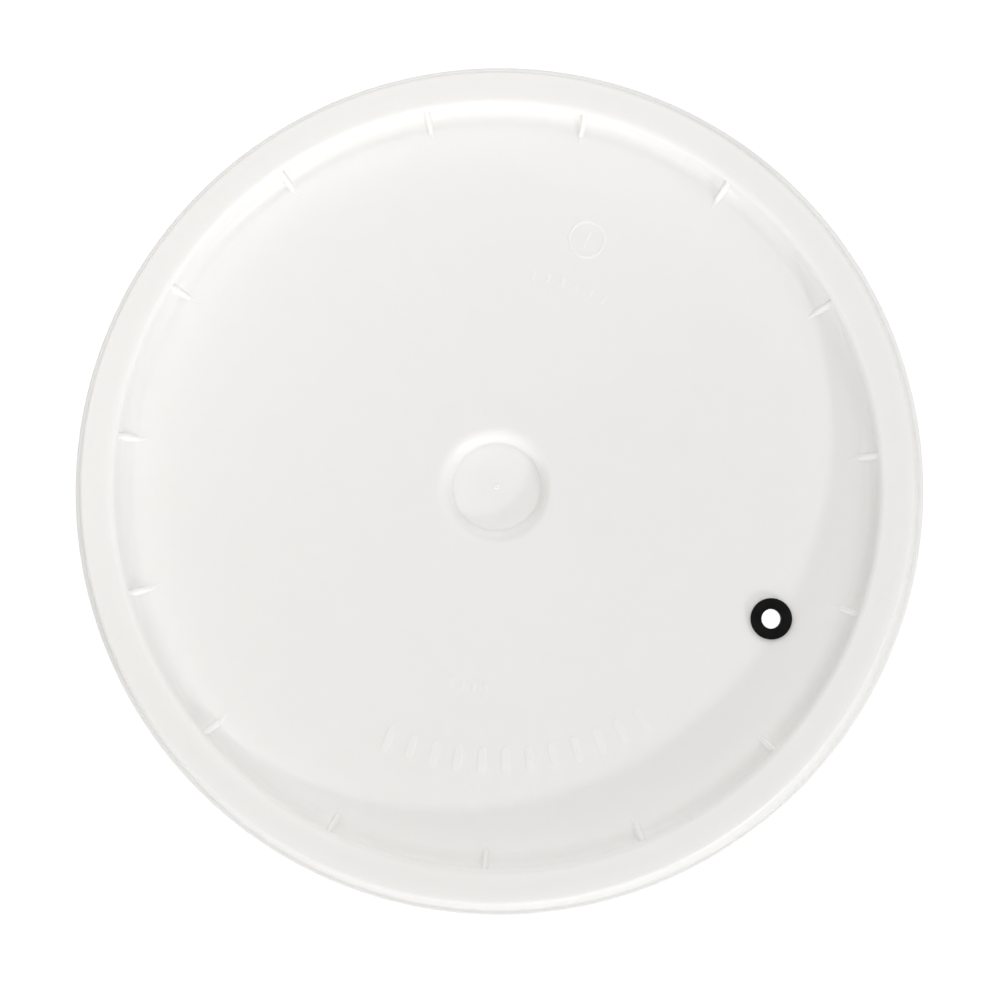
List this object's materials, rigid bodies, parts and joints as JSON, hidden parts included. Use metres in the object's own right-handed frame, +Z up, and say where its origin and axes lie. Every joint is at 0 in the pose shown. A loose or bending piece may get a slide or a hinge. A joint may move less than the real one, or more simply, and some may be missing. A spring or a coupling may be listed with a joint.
{
  "type": "fermenting bucket lid",
  "caption": "Press-on lid for a round plastic fermenting bucket: recessed panel with corner gussets, flared skirt, rim gasket and a black rubber airlock grommet.",
  "frame": {"origin": "centre of the plane that the skirt's foot stands on, on the lid's axis", "axes": "+Z up the lid's axis, from the foot to the crown; +X is at 25.9 degrees counter-clockwise from the grommet, seen from above; +Y completes the right-handed frame"},
  "size_m": [0.3154, 0.3154, 0.0254],
  "materials": {
    "natural_plastic": "satin moulded polyethylene, milky white, slightly translucent",
    "gasket_rubber": "dull pale grey elastomer",
    "black_rubber": "smooth dull black rubber"
  },
  "bodies": {
    "root": {"lid_shell": "natural_plastic", "rim_gasket": "gasket_rubber", "airlock_grommet": "black_rubber"}
  },
  "joints": []
}
